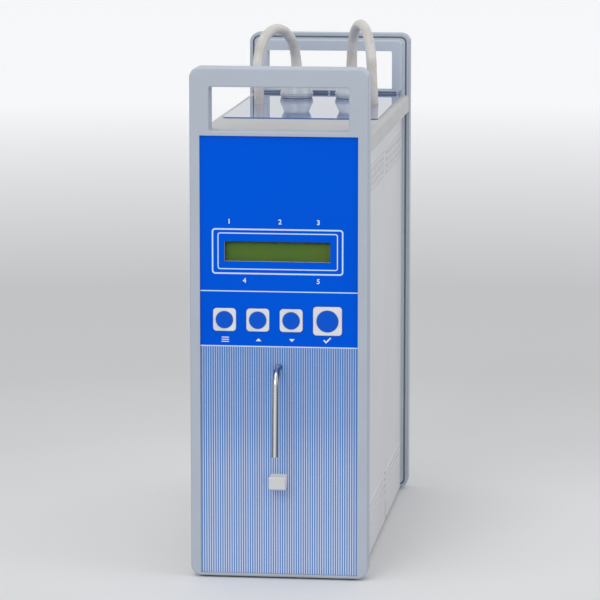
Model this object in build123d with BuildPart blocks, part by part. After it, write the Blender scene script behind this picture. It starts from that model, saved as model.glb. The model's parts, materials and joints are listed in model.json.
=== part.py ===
from build123d import *
from math import atan2, cos, radians, tan
import os

os.makedirs("parts", exist_ok=True)

# Sizes are in millimetres. X is the width, Y runs from the front to the back and Z is up.
# The object's box, with the sampling pipe in front, is centred on the origin in X and Y.

# Case
body_w = 104.0
body_d = 280.0
body_h = 300.0
pipe_reach = 20.0
foot_drop = 1.0
seat_gap = 0.1
running_gap = 0.05

# End frames: a solid outer frame, and a liner that closes it towards the case
frame_t = 13.0
frame_corner_r = 6.0
frame_edge_r = 1.3
rim_w = 1.8
groove_w = 1.2
liner_t = 2.5
window_inset = 11.3
window_drop = 11.3
window_h = 25.5
window_corner_r = 1.0
window_edge_r = 0.8
pad_inset = 4.8
pad_drop = 4.1
pad_sill = 1.4
pad_h = 1.5
pad_edge_r = 1.1
panel_inset = 6.0
panel_z0 = 2.9
panel_sill = 2.6
shelf_w = 2.5
rib_w = 1.3
rib_inset = 2.8
rib_proud = 0.8

# Front panel, film and what shows in them
panel_t = 2.0
film_t = 0.5
film_recess = 1.0
display_x = -0.9
display_drop = 67.2
display_w = 61.9
display_h = 11.8
key_drop = 40.1
key_w = 13.4
enter_key_w = 16.8
key_corner_r = 2.0
key_dot_r = 5.0
enter_key_dot_r = 6.3
key_stand = 0.6
key_edge = 0.3
key_dot_h = 0.3
key_gap = 0.2
key_flange = 1.0
key_travel = 0.5
key_xs = {"mode_key": -31.8, "up_key": -12.3, "down_key": 7.2, "enter_key": 28.4}

# Sampling pipe and cup hook
pipe_r = 1.75
pipe_bore_r = 1.15
pipe_drop = 27.5
pipe_fall = 49.5
pipe_bend_r = 10.5
pipe_lean = 3.4
pipe_inside = 12.0
gland_r = 3.4
gland_nut_r = 6.0
gland_nut_t = 3.0
hook_w = 9.4
hook_h = 8.4
hook_drop = 13.7
hook_reach = 10.0
hook_back_t = 1.6
hook_lip_t = 2.2
hook_floor_t = 3.0
hook_stud_r = 2.0
hook_nut_r = 2.9

# Sides, cover and base
side_inset = 4.8
side_t = 2.0
case_z0 = 2.0
cover_drop = 39.8
cover_t = 2.5
cover_inset = 0.3
cover_skirt_h = 10.2
cover_shoulder_r = 2.0
cover_skirt_gap = 0.2
plate_inset = 4.8
plate_t = 0.8
plate_setback = 91.0
plate_corner_r = 4.0
base_t = 2.0
foot_r = 7.0
foot_side_gap = 2.2
foot_inset_y = 14.0
foot_edge = 0.5
vent_h = 0.9
vent_front_gap = 31.0
vent_rear_gap = 11.0
vent_web = 12.0
vent_pitch = 4.1
vent_rows = 4
vent_top_drop = 20.8
vent_low_z = 27.0
notch_w = 3.0
notch_h = 13.0
notch_depth = 0.8
notch_shift = 22.0

# Hose unions and hose feet on the top plate
union_x = 17.7
union_set = 95.0
union_flange_r = 10.0
union_flange_t = 3.0
stud_r = 6.0
stud_h = 7.5
knob_h = 14.5
knob_base_r = 9.4
knob_bulge_r = 9.9
knob_bulge_z = 2.4
knob_shoulder_r = 9.25
knob_shoulder_z = 4.6
knob_waist_r = 7.75
knob_waist_z = 8.4
knob_neck_r = 8.6
knob_neck_z = 10.9
thread_gap = 0.2
tail_r = 2.7
tail_h = 7.5
tail_flange_t = 1.5
spigot_r = 2.75
spigot_bore_r = 1.6
spigot_len = 14.0
hose_r = 3.2
hose_hole_gap = 0.2
hose_foot_x = 36.0
hose_foot_set = 52.0
hose_depth = 10.2
socket_r = 6.0
socket_floor_t = 2.0

# Hose routes from the union's tail, over and down into the foot
left_hose_points = [
    (-17.7, 105.0, 276.0),
    (-17.7, 105.0, 288.6),
    (-21.4, 97.8, 302.1),
    (-28.2, 83.5, 307.8),
    (-34.6, 69.3, 302.0),
    (-37.3, 62.0, 288.6),
    (-37.1, 61.6, 275.8),
    (-36.0, 62.0, 263.0),
    (-36.0, 62.0, 250.0),
]
right_hose_points = [
    (17.7, 105.0, 276.0),
    (17.7, 105.0, 291.8),
    (20.2, 97.6, 305.3),
    (25.8, 83.5, 311.0),
    (31.6, 69.5, 305.3),
    (34.6, 62.2, 291.8),
    (35.0, 61.6, 277.5),
    (36.0, 62.0, 263.0),
    (36.0, 62.0, 250.0),
]

# Inside
tube_r = 2.75
tube_bore_r = 1.6
chassis_x = -12.0
chassis_t = 2.0
chassis_len = 190.0
chassis_drop = 60.2
board_t = 1.6
board_gap = 5.0
pump_back = 52.0
pump_z = 80.0
pump_w = 64.0
pump_depth = 20.0
pump_floor = 2.4
track_r = 26.3
pump_tube_r = 3.2
pump_tube_path_r = 22.8
rotor_r = 17.0
rotor_gap = 0.4
rotor_disc_t = 2.0
hub_r = 6.0
roller_r = 5.0
roller_path_r = 14.3
roller_pin_r = 1.5
roller_end_gap = 0.3
roller_count = 3
shaft_r = 3.0
cell_x = 4.0
cell_w = 24.0
cell_d = 28.0
cell_h = 70.0
cell_port_rise = 10.8
cell_front = 70.0
cell_bore_r = 6.0
cell_seat_t = 2.0
cell_seat_margin = 6.0
cell_seat_inset = 5.0

# Rear panel
rear_recess = 6.0
socket_row_z = 40.0
switch_x = 24.0
inlet_x = 0.0
fuse_x = -24.0
serial_z = 78.0
rocker_tilt = 8.0

# Derived places
window_w = body_w - 2 * window_inset
window_z1 = body_h - window_drop
window_z0 = window_z1 - window_h
pad_w = body_w - 2 * pad_inset
pad_z0 = window_z0 - pad_sill
pad_z1 = body_h - pad_drop
rib_pitch = pad_w / 2 - rib_inset
panel_w = body_w - 2 * panel_inset
panel_z1 = window_z0 - panel_sill
display_z = panel_z1 - display_drop
key_z = display_z - key_drop
pipe_z = key_z - pipe_drop
pipe_tip_z = pipe_z - pipe_fall
hook_z1 = pipe_tip_z - hook_drop
hook_z0 = hook_z1 - hook_h
side_x = body_w / 2 - side_inset
cover_z = body_h - cover_drop
cover_half_w = body_w / 2 - cover_inset
cover_skirt_z = cover_z - cover_skirt_h
plate_w = body_w - 2 * plate_inset
front_y = -(body_d + pipe_reach) / 2 + pipe_reach
rear_y = front_y + body_d
mid_y = (front_y + rear_y) / 2
inner_front_y = front_y + frame_t
inner_rear_y = rear_y - frame_t
case_len = inner_rear_y - inner_front_y
frame_h = body_h - foot_drop
frame_mid_z = foot_drop + frame_h / 2
film_y = front_y + film_recess
panel_y = film_y + film_t
panel_back_y = panel_y + panel_t
rear_face_y = rear_y - rear_recess
rear_panel_y = rear_face_y - panel_t
side_in_x = side_x - side_t
cover_under_z = cover_z - cover_t
plate_z = cover_z + plate_t
plate_len = case_len - plate_setback
base_top_z = case_z0 + base_t
foot_x = side_in_x - foot_side_gap - foot_r
vent_len = (case_len - vent_front_gap - vent_rear_gap - vent_web) / 2
vent_mid_y = mid_y + (vent_front_gap - vent_rear_gap) / 2
vent_top_z = cover_skirt_z - vent_top_drop
chassis_z1 = cover_z - chassis_drop
union_y = mid_y + union_set
hose_foot_y = mid_y + hose_foot_set
hose_end_z = cover_z - hose_depth
chassis_right_x = chassis_x + chassis_t
pump_y = mid_y + pump_back
cell_front_y = mid_y - cell_front
cell_back_y = cell_front_y + cell_d
cell_mid_y = (cell_front_y + cell_back_y) / 2
cell_z0 = pipe_z - cell_port_rise
cell_z1 = cell_z0 + cell_h
cell_mid_z = (cell_z0 + cell_z1) / 2
rotor_half = pump_depth / 2 - pump_floor - rotor_gap


def facing(y):
    # Sketch plane across the case at depth y: X to the right, Z up
    return Plane.XZ.offset(-y)


def side_plane(x):
    # Sketch plane along the case at width x: Y to the right, Z up
    return Plane.YZ.offset(x)


def save(part, label):
    part.label = label
    export_step(part, f"parts/{label}.step")


def tube_through(points, radii, outer_r, bore_r=0.0):
    # A round tube or rod along straight runs that are joined by tangent arcs
    with BuildPart() as tube:
        with BuildLine() as route:
            FilletPolyline(*points, radius=radii)
        start = route.wire() @ 0
        heading = route.wire() % 0
        with BuildSketch(Plane(origin=start, z_dir=heading)):
            Circle(outer_r)
            if bore_r:
                Circle(bore_r, mode=Mode.SUBTRACT)
        sweep()
    return tube.part


# End frames

def end_frame(face_y, inward, rebate):
    # inward is +1 at the front and -1 at the back
    with BuildPart() as frame:
        with BuildSketch(facing(face_y)):
            with Locations((0, frame_mid_z)):
                RectangleRounded(body_w, frame_h, frame_corner_r)
        extrude(amount=-inward * frame_t)
        outer_face = frame.faces().sort_by(Axis.Y)[0 if inward > 0 else -1]
        fillet(outer_face.outer_wire().edges(), frame_edge_r)
        # Seat of the liner
        with BuildSketch(facing(face_y + inward * (frame_t - liner_t))):
            with Locations((0, frame_mid_z)):
                RectangleRounded(body_w - 2 * rim_w, frame_h - 2 * rim_w, frame_corner_r - rim_w)
        extrude(amount=-inward * liner_t, mode=Mode.SUBTRACT)
        # Seat of the panel, and the opening behind it
        with BuildSketch(facing(face_y)):
            with Locations((0, (panel_z0 + panel_z1) / 2)):
                Rectangle(panel_w + 2 * seat_gap, panel_z1 - panel_z0)
        extrude(amount=-inward * rebate, mode=Mode.SUBTRACT)
        with BuildSketch(facing(face_y)):
            with Locations((0, (panel_z0 + panel_z1) / 2)):
                Rectangle(panel_w - 2 * shelf_w, panel_z1 - panel_z0 - 2 * shelf_w)
        extrude(amount=-inward * frame_t, mode=Mode.SUBTRACT)
        # Handle window
        with BuildSketch(facing(face_y)):
            with Locations((0, (window_z0 + window_z1) / 2)):
                RectangleRounded(window_w, window_z1 - window_z0, window_corner_r)
        extrude(amount=-inward * frame_t, mode=Mode.SUBTRACT)
        outer_face = frame.faces().sort_by(Axis.Y)[0 if inward > 0 else -1]
        window_rim = outer_face.inner_wires().sort_by(Axis.Z)[-1]
        fillet(window_rim.edges(), window_edge_r)
    return frame.part


def end_liner(face_y, inward):
    liner_y = face_y + inward * (frame_t - liner_t)
    outer_inset = 2 * (rim_w + groove_w)
    with BuildPart() as liner:
        with BuildSketch(facing(liner_y)):
            with Locations((0, frame_mid_z)):
                RectangleRounded(body_w - outer_inset, frame_h - outer_inset, frame_corner_r - rim_w - groove_w)
            with Locations((0, (panel_z0 + panel_z1) / 2)):
                Rectangle(
                    panel_w - 2 * shelf_w,
                    panel_z1 - panel_z0 - 4 * shelf_w,
                    mode=Mode.SUBTRACT,
                )
        extrude(amount=-inward * liner_t)
        # Rounded pad that the hand closes on
        with BuildSketch(facing(face_y + inward * frame_t)):
            with Locations((0, (pad_z0 + pad_z1) / 2)):
                RectangleRounded(pad_w, pad_z1 - pad_z0, frame_corner_r - rim_w - groove_w)
        extrude(amount=-inward * pad_h)
        with BuildSketch(facing(liner_y)):
            with Locations((0, (window_z0 + window_z1) / 2)):
                RectangleRounded(window_w, window_z1 - window_z0, window_corner_r)
        extrude(amount=-inward * (liner_t + pad_h), mode=Mode.SUBTRACT)
        pad_face = liner.faces().sort_by(Axis.Y)[-1 if inward > 0 else 0]
        fillet(pad_face.outer_wire().edges(), pad_edge_r)
        # Short ribs under the sill of the window
        rib_z0 = plate_z + seat_gap
        with BuildSketch(facing(liner_y)):
            with Locations((0, (rib_z0 + window_z0) / 2)):
                with GridLocations(rib_pitch, 0, 3, 1):
                    Rectangle(rib_w, window_z0 - rib_z0)
        extrude(amount=-inward * (liner_t + pad_h + rib_proud))
    return liner.part


front_bezel = end_frame(front_y, 1, film_recess + film_t + panel_t)
rear_bezel = end_frame(rear_y, -1, rear_recess + panel_t)
front_liner = end_liner(front_y, 1)
rear_liner = end_liner(rear_y, -1)

# Front panel with its bosses, the film over it, and the display behind it

front_panel_h = panel_z1 - panel_z0 - 2 * seat_gap
front_panel_mid_z = (panel_z0 + panel_z1) / 2
panel_boss_h = 7.0
board_y = panel_back_y + panel_boss_h
board_side_gap = 3.5
board_w = panel_w - 2 * (shelf_w + board_side_gap)
window_pane_t = 1.0
window_pane_rim = 3.35
lcd_view_rim = 1.3
lcd_glass_rim_x = 2.25
lcd_glass_rim_z = 2.8
lcd_frame_rim_x = 1.1
lcd_frame_rim_z = 2.6
lcd_frame_wall = 0.6
lcd_view_w = display_w + 2 * lcd_view_rim
lcd_view_h = display_h + 2 * lcd_view_rim
lcd_glass_w = lcd_view_w + 2 * lcd_glass_rim_x
lcd_glass_h = lcd_view_h + 2 * lcd_glass_rim_z
lcd_frame_w = lcd_glass_w + 2 * lcd_frame_rim_x
lcd_frame_h = lcd_glass_h + 2 * lcd_frame_rim_z
lcd_frame_y = panel_back_y + window_pane_t
display_boss_r = 2.4
display_boss_gap = 0.5
display_boss_out = 1.9
display_boss_x = lcd_frame_w / 2 + display_boss_out
display_boss_z = lcd_frame_h / 2 + display_boss_gap + display_boss_r
board_edge = 0.5
display_board_h = 2 * (display_boss_z + display_boss_r) + 2 * board_edge
keypad_boss_r = 1.7
keypad_boss_gap = 0.3


def key_size(name):
    return enter_key_w if name == "enter_key" else key_w


def key_reach(name):
    # Half the width of a key with the flange behind the panel
    return key_size(name) / 2 + key_flange


def between_keys(left, right):
    # Middle of the gap between two neighbours
    return (key_xs[left] + key_reach(left) + key_xs[right] - key_reach(right)) / 2


keypad_boss_xs = (between_keys("mode_key", "up_key"), between_keys("down_key", "enter_key"))
keypad_boss_z = max(map(key_reach, key_xs)) + keypad_boss_gap + keypad_boss_r
keypad_board_h = 2 * (keypad_boss_z + keypad_boss_r + board_edge)


def cut_front_openings(pipe_hole_r):
    # The openings of the panel and of the film, on the sketch in hand
    with Locations((display_x, display_z)):
        Rectangle(display_w, display_h, mode=Mode.SUBTRACT)
    for name, x in key_xs.items():
        size = key_size(name) + 2 * key_gap
        with Locations((x, key_z)):
            RectangleRounded(size, size, key_corner_r + key_gap, mode=Mode.SUBTRACT)
    with Locations((0, pipe_z)):
        Circle(pipe_hole_r + seat_gap, mode=Mode.SUBTRACT)
    with Locations((0, (hook_z0 + hook_z1) / 2)):
        Circle(hook_stud_r + seat_gap, mode=Mode.SUBTRACT)


with BuildPart() as front_panel:
    with BuildSketch(facing(panel_y)):
        with Locations((0, front_panel_mid_z)):
            Rectangle(panel_w, front_panel_h)
        cut_front_openings(gland_r)
    extrude(amount=-panel_t)
    with BuildSketch(facing(panel_back_y)):
        with Locations((display_x, display_z)):
            with GridLocations(2 * display_boss_x, 2 * display_boss_z, 2, 2):
                Circle(display_boss_r)
        for x in keypad_boss_xs:
            with Locations((x, key_z - keypad_boss_z), (x, key_z + keypad_boss_z)):
                Circle(keypad_boss_r)
    extrude(amount=-panel_boss_h)

with BuildPart() as front_film:
    with BuildSketch(facing(film_y)):
        with Locations((0, front_panel_mid_z)):
            Rectangle(panel_w, front_panel_h)
        cut_front_openings(pipe_r)
    extrude(amount=-film_t)

with BuildPart() as display_window:
    with BuildSketch(facing(panel_back_y)):
        with Locations((display_x, display_z)):
            Rectangle(lcd_view_w, display_h + 2 * window_pane_rim)
    extrude(amount=-window_pane_t)

with BuildPart() as lcd_frame:
    with BuildSketch(facing(lcd_frame_y)):
        with Locations((display_x, display_z)):
            Rectangle(lcd_frame_w, lcd_frame_h)
    extrude(amount=-(board_y - lcd_frame_y))
    with BuildSketch(facing(lcd_frame_y)):
        with Locations((display_x, display_z)):
            Rectangle(lcd_view_w, lcd_view_h)
    extrude(amount=-lcd_frame_wall, mode=Mode.SUBTRACT)
    with BuildSketch(facing(lcd_frame_y + lcd_frame_wall)):
        with Locations((display_x, display_z)):
            Rectangle(lcd_glass_w + 2 * seat_gap, lcd_glass_h + 2 * seat_gap)
    extrude(amount=-(board_y - lcd_frame_y - lcd_frame_wall), mode=Mode.SUBTRACT)

with BuildPart() as lcd_glass:
    with BuildSketch(facing(lcd_frame_y + lcd_frame_wall)):
        with Locations((display_x, display_z)):
            Rectangle(lcd_glass_w, lcd_glass_h)
    extrude(amount=-(board_y - lcd_frame_y - lcd_frame_wall))

with BuildPart() as lcd_board:
    with BuildSketch(facing(board_y)):
        with Locations((display_x, display_z)):
            Rectangle(board_w, display_board_h)
    extrude(amount=-board_t)

switch_w = 6.0
switch_h = 3.5

with BuildPart() as keypad_board:
    with BuildSketch(facing(board_y)):
        with Locations((0, key_z)):
            Rectangle(board_w, keypad_board_h)
    extrude(amount=-board_t)
    with BuildSketch(facing(board_y - switch_h)):
        for x in key_xs.values():
            with Locations((x, key_z)):
                Rectangle(switch_w, switch_w)
    extrude(amount=-switch_h)

# Keys: a cap with a round raised dot, a flange behind the panel and a stem to its switch

key_flange_y = panel_back_y + seat_gap
key_flange_t = 1.2
key_stem_r = 2.0
key_stem_y = board_y - switch_h - key_travel - seat_gap


def make_key(name, x):
    size = key_size(name)
    dot_r = enter_key_dot_r if name == "enter_key" else key_dot_r
    cap_y = film_y - key_stand
    with BuildPart() as key:
        with BuildSketch(facing(cap_y)):
            with Locations((x, key_z)):
                RectangleRounded(size, size, key_corner_r)
        extrude(amount=-(key_flange_y - cap_y))
        chamfer(key.faces().sort_by(Axis.Y)[0].edges(), key_edge)
        with BuildSketch(facing(cap_y)):
            with Locations((x, key_z)):
                Circle(dot_r)
        extrude(amount=key_dot_h)
        with BuildSketch(facing(key_flange_y)):
            with Locations((x, key_z)):
                Rectangle(size + 2 * key_flange, size + 2 * key_flange)
        extrude(amount=-key_flange_t)
        with BuildSketch(facing(key_flange_y + key_flange_t)):
            with Locations((x, key_z)):
                Circle(key_stem_r)
        extrude(amount=-(key_stem_y - key_flange_y - key_flange_t))
    return key.part


keys = {name: make_key(name, x) for name, x in key_xs.items()}

# Sampling pipe, its gland, and the hook that holds the cup under it

lean = atan2(pipe_lean, pipe_z - pipe_tip_z)
pipe_tip_y = front_y - pipe_reach + pipe_r * cos(lean)
pipe_points = [
    (0, front_y + pipe_inside, pipe_z),
    (0, pipe_tip_y + pipe_lean, pipe_z),
    (0, pipe_tip_y, pipe_tip_z),
]
sample_pipe = tube_through(pipe_points, pipe_bend_r, pipe_r, pipe_bore_r)

with BuildPart() as pipe_gland:
    with BuildSketch(facing(panel_y)):
        with Locations((0, pipe_z)):
            Circle(gland_r)
    extrude(amount=-panel_t)
    with BuildSketch(facing(panel_back_y)):
        with Locations((0, pipe_z)):
            RegularPolygon(gland_nut_r, 6)
    extrude(amount=-gland_nut_t)
    with BuildSketch(facing(panel_y)):
        with Locations((0, pipe_z)):
            Circle(pipe_r + seat_gap)
    extrude(amount=-(panel_t + gland_nut_t), mode=Mode.SUBTRACT)

hook_back_y = film_y - hook_back_t
hook_front_y = front_y - hook_reach
hook_slot_z = hook_z0 + hook_floor_t
hook_mid_y = (film_y + hook_front_y) / 2

with BuildPart() as cup_hook:
    with BuildSketch(side_plane(-hook_w / 2)):
        with BuildLine():
            Polyline(
                (film_y, hook_z0 + hook_floor_t / 2),
                (film_y, hook_z1),
                (hook_back_y, hook_z1),
                (hook_back_y, hook_slot_z),
                (hook_front_y + hook_lip_t, hook_slot_z),
                (hook_front_y + hook_lip_t, hook_z1),
                (hook_front_y, hook_z1),
                (hook_front_y, hook_z0 + hook_floor_t / 2),
            )
            ThreePointArc(
                (hook_front_y, hook_z0 + hook_floor_t / 2),
                (hook_mid_y, hook_z0),
                (film_y, hook_z0 + hook_floor_t / 2),
            )
        make_face()
    extrude(amount=hook_w)
    lip = cup_hook.edges().filter_by(Axis.X).group_by(Axis.Z)[-1].group_by(Axis.Y)[0]
    fillet(lip, hook_lip_t / 3)
    with BuildSketch(facing(film_y)):
        with Locations((0, (hook_z0 + hook_z1) / 2)):
            Circle(hook_stud_r)
    extrude(amount=-(film_t + panel_t))
    with BuildSketch(facing(panel_back_y)):
        with Locations((0, (hook_z0 + hook_z1) / 2)):
            Circle(hook_nut_r)
    extrude(amount=-hook_stud_r)

# Side panels with two groups of louvre slots


def make_side(sign):
    with BuildPart() as side:
        with BuildSketch(side_plane(sign * side_in_x)):
            with Locations((mid_y, (case_z0 + cover_under_z - cover_skirt_gap) / 2)):
                Rectangle(case_len, cover_under_z - cover_skirt_gap - case_z0)
        extrude(amount=sign * side_t)
        with BuildSketch(side_plane(sign * side_in_x)):
            for z in (vent_top_z, vent_low_z):
                with Locations((vent_mid_y, z)):
                    with GridLocations(vent_len + vent_web, vent_pitch, 2, vent_rows):
                        Rectangle(vent_len, vent_h)
        extrude(amount=sign * side_t, mode=Mode.SUBTRACT)
        with BuildSketch(side_plane(sign * side_x)):
            with Locations((mid_y + notch_shift, case_z0 + notch_h / 2)):
                Rectangle(notch_w, notch_h)
        extrude(amount=-sign * notch_depth, mode=Mode.SUBTRACT)
    return side.part


right_side = make_side(1)
left_side = make_side(-1)

# Top cover with rounded shoulders, the glossy plate on it, the base and the feet

union_spots = [(-union_x, union_y), (union_x, union_y)]
hose_spots = [(-hose_foot_x, hose_foot_y), (hose_foot_x, hose_foot_y)]


def cut_top_holes(top_z, depth):
    with BuildSketch(Plane.XY.offset(top_z)) as holes:
        with Locations(*union_spots):
            Circle(stud_r + seat_gap)
        with Locations(*hose_spots):
            Circle(hose_r + hose_hole_gap)
    extrude(holes.sketch, amount=-depth, mode=Mode.SUBTRACT)


with BuildPart() as top_cover:
    with BuildSketch(facing(inner_front_y)):
        with BuildLine():
            cover_flat_x = cover_half_w - cover_shoulder_r
            cover_shoulder_z = cover_z - cover_shoulder_r
            Polyline(
                (-cover_half_w, cover_shoulder_z),
                (-cover_half_w, cover_skirt_z),
                (cover_half_w, cover_skirt_z),
                (cover_half_w, cover_shoulder_z),
            )
            for side in (-1, 1):
                TangentArc(
                    (side * cover_half_w, cover_shoulder_z),
                    (side * cover_flat_x, cover_z),
                    tangent=(0, 1),
                )
            Line((-cover_flat_x, cover_z), (cover_flat_x, cover_z))
        make_face()
        inside_h = cover_under_z - cover_skirt_z
        with Locations((0, cover_skirt_z + inside_h / 2)):
            Rectangle(2 * (side_x + cover_skirt_gap), inside_h, mode=Mode.SUBTRACT)
    extrude(amount=-case_len)
    cut_top_holes(cover_z, cover_t)

with BuildPart() as top_plate:
    with BuildSketch(Plane.XY.offset(cover_z)):
        with Locations((0, inner_rear_y - plate_len / 2)):
            Rectangle(plate_w, plate_len)
    extrude(amount=plate_t)
    fillet(top_plate.edges().filter_by(Axis.Z).group_by(Axis.Y)[0], plate_corner_r)
    cut_top_holes(plate_z, plate_t)

base_vent_len = 60.0
base_vent_w = 3.0

with BuildPart() as base_plate:
    with BuildSketch(Plane.XY.offset(case_z0)):
        with Locations((0, mid_y)):
            Rectangle(2 * (side_in_x - seat_gap), case_len)
        with Locations((side_in_x / 2, mid_y)):
            with GridLocations(0, 3 * base_vent_w, 1, 5):
                Rectangle(base_vent_len / 2, base_vent_w, mode=Mode.SUBTRACT)
    extrude(amount=base_t)

with BuildPart() as rubber_feet:
    with BuildSketch(Plane.XY):
        for y in (inner_front_y + foot_inset_y, inner_rear_y - foot_inset_y):
            with Locations((-foot_x, y), (foot_x, y)):
                Circle(foot_r)
    extrude(amount=case_z0)
    chamfer(rubber_feet.faces().group_by(Axis.Z)[0].edges(), foot_edge)

# Hose unions: a threaded body through the cover, a knob that screws down on it, and a hose tail

stud_top_z = plate_z + stud_h
tail_top_z = stud_top_z + tail_h
knob_z0 = plate_z + seat_gap
knob_ceiling_z = stud_top_z + tail_flange_t + thread_gap
spigot_end_z = cover_under_z - union_flange_t - spigot_len


def upright(x, y, z0, z1, radius, mode=Mode.ADD):
    # A round bar or hole between two heights, in the part in hand
    with BuildSketch(Plane.XY.offset(z0)) as disc:
        with Locations((x, y)):
            Circle(radius)
    extrude(disc.sketch, amount=z1 - z0, mode=mode)


with BuildPart() as union_bodies:
    for x, y in union_spots:
        upright(x, y, spigot_end_z, cover_under_z, spigot_r)
        upright(x, y, cover_under_z, stud_top_z, stud_r)
    with BuildSketch(Plane.XY.offset(cover_under_z - union_flange_t)):
        with Locations(*union_spots):
            RegularPolygon(union_flange_r, 6)
    extrude(amount=union_flange_t)
    for x, y in union_spots:
        upright(x, y, spigot_end_z, stud_top_z, spigot_bore_r, Mode.SUBTRACT)


def make_union_knob(x):
    # Waisted knob, turned from one profile
    with BuildPart() as knob:
        with BuildSketch(Plane.XZ):
            with BuildLine():
                foot = (knob_base_r, knob_z0)
                Line((stud_r + thread_gap, knob_z0), foot)
                bulge = ThreePointArc(
                    foot,
                    (knob_bulge_r, knob_z0 + knob_bulge_z),
                    (knob_shoulder_r, knob_z0 + knob_shoulder_z),
                )
                flank = Line(bulge @ 1, (knob_waist_r, knob_z0 + knob_waist_z))
                waist = TangentArc(flank @ 1, (knob_neck_r, knob_z0 + knob_neck_z), tangent=flank % 1)
                lip = TangentArc(waist @ 1, (knob_neck_r, knob_z0 + knob_h), tangent=waist % 1)
                Polyline(
                    lip @ 1,
                    (tail_r + thread_gap, knob_z0 + knob_h),
                    (tail_r + thread_gap, knob_ceiling_z),
                    (stud_r + thread_gap, knob_ceiling_z),
                    (stud_r + thread_gap, knob_z0),
                )
            make_face()
        revolve(axis=Axis.Z)
    return knob.part.moved(Location((x, union_y, 0)))


with BuildPart() as hose_tails:
    for x, y in union_spots:
        upright(x, y, stud_top_z, stud_top_z + tail_flange_t, stud_r - thread_gap)
        upright(x, y, stud_top_z, tail_top_z, tail_r)
        upright(x, y, stud_top_z, tail_top_z, spigot_bore_r, Mode.SUBTRACT)

# Sockets under the cover that the hoses push into
with BuildPart() as hose_sockets:
    for x, y in hose_spots:
        upright(x, y, hose_end_z - socket_floor_t, cover_under_z, socket_r)
        upright(x, y, cover_under_z - tail_flange_t, cover_under_z, socket_r + tail_flange_t)
        upright(x, y, spigot_end_z, hose_end_z, spigot_r)
        upright(x, y, hose_end_z, cover_under_z, hose_r + hose_hole_gap, Mode.SUBTRACT)
        upright(x, y, spigot_end_z, hose_end_z, spigot_bore_r, Mode.SUBTRACT)


def cord_radii(points):
    # The largest arc that each corner's two runs allow
    corners = [Vector(*point) for point in points]
    radii = []
    for before, corner, after in zip(corners, corners[1:], corners[2:]):
        run_in = corner - before
        run_out = after - corner
        half_turn = radians(run_in.get_angle(run_out)) / 2
        radii.append(0.45 * min(run_in.length, run_out.length) / tan(half_turn))
    return radii


def make_hose(label, points):
    radii = cord_radii(points)
    print(label, "arc radii", [round(radius, 1) for radius in radii])
    return tube_through(points, radii, hose_r)


# Chassis plate with the main board on its left and the pump and measuring cell on its right

chassis_foot_w = 15.0
chassis_foot_t = 2.0
shaft_hole_r = 6.0
screw_r = 1.5
screw_gap = 0.1
pump_screw_inset = 3.5
pump_screw_pitch = pump_w - 2 * pump_screw_inset
board_x = chassis_x - board_gap - board_t
board_len = 100.0
board_h = 130.0
board_forward = 40.0
board_mid_y = mid_y - board_forward
board_lift = 8.0
board_mid_z = (base_top_z + chassis_z1) / 2 + board_lift
board_screw_inset = 5.0
standoff_r = 3.0

with BuildPart() as chassis_plate:
    with BuildSketch(side_plane(chassis_x)):
        with Locations((mid_y, (base_top_z + chassis_z1) / 2)):
            Rectangle(chassis_len, chassis_z1 - base_top_z)
        with Locations((pump_y, pump_z)):
            Circle(shaft_hole_r, mode=Mode.SUBTRACT)
            with GridLocations(pump_screw_pitch, pump_screw_pitch, 2, 2):
                Circle(screw_r + screw_gap, mode=Mode.SUBTRACT)
    extrude(amount=chassis_t)
    with BuildSketch(Plane.XY.offset(base_top_z)):
        with Locations((chassis_x - chassis_foot_w / 2, mid_y)):
            Rectangle(chassis_foot_w, chassis_len)
    extrude(amount=chassis_foot_t)
    # Raised seat of the measuring cell
    with BuildSketch(side_plane(chassis_right_x)):
        with Locations((cell_mid_y, cell_mid_z)):
            Rectangle(cell_d + 2 * cell_seat_margin, cell_z1 - cell_z0 - 2 * cell_seat_inset)
    extrude(amount=cell_seat_t)

capacitor_r = 6.3
capacitor_h = 18.0
capacitor_pitch = 18.0
chip_w = 20.0
chip_t = 2.2
chip_rise = 15.0
header_len = 22.0
header_w = 8.0
header_h = 9.0
header_pitch = 30.0
header_rise = 50.0
low_row_drop = 45.0
low_row_z = board_mid_z - low_row_drop
capacitor_shift = 28.0
heatsink_shift = -18.0

with BuildPart() as main_board:
    with BuildSketch(side_plane(board_x)):
        with Locations((board_mid_y, board_mid_z)):
            Rectangle(board_len, board_h)
    extrude(amount=board_t)
    with BuildSketch(side_plane(board_x)):
        with Locations((board_mid_y + capacitor_shift, low_row_z)):
            with GridLocations(0, capacitor_pitch, 1, 3):
                Circle(capacitor_r)
    extrude(amount=-capacitor_h)
    with BuildSketch(side_plane(board_x)):
        with Locations((board_mid_y, board_mid_z + chip_rise)):
            Rectangle(chip_w, chip_w)
    extrude(amount=-chip_t)
    with BuildSketch(side_plane(board_x)):
        with Locations((board_mid_y, board_mid_z + header_rise)):
            with GridLocations(header_pitch, 0, 3, 1):
                Rectangle(header_len, header_w)
    extrude(amount=-header_h)

with BuildPart() as board_standoffs:
    with BuildSketch(side_plane(board_x + board_t)):
        with Locations((board_mid_y, board_mid_z)):
            with GridLocations(board_len - 2 * board_screw_inset, board_h - 2 * board_screw_inset, 2, 2):
                Circle(standoff_r)
    extrude(amount=board_gap)

heatsink_w = 40.0
heatsink_h = 25.0
heatsink_base_t = 3.0
fin_h = 13.0
fin_t = 1.2
fin_count = 8

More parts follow.
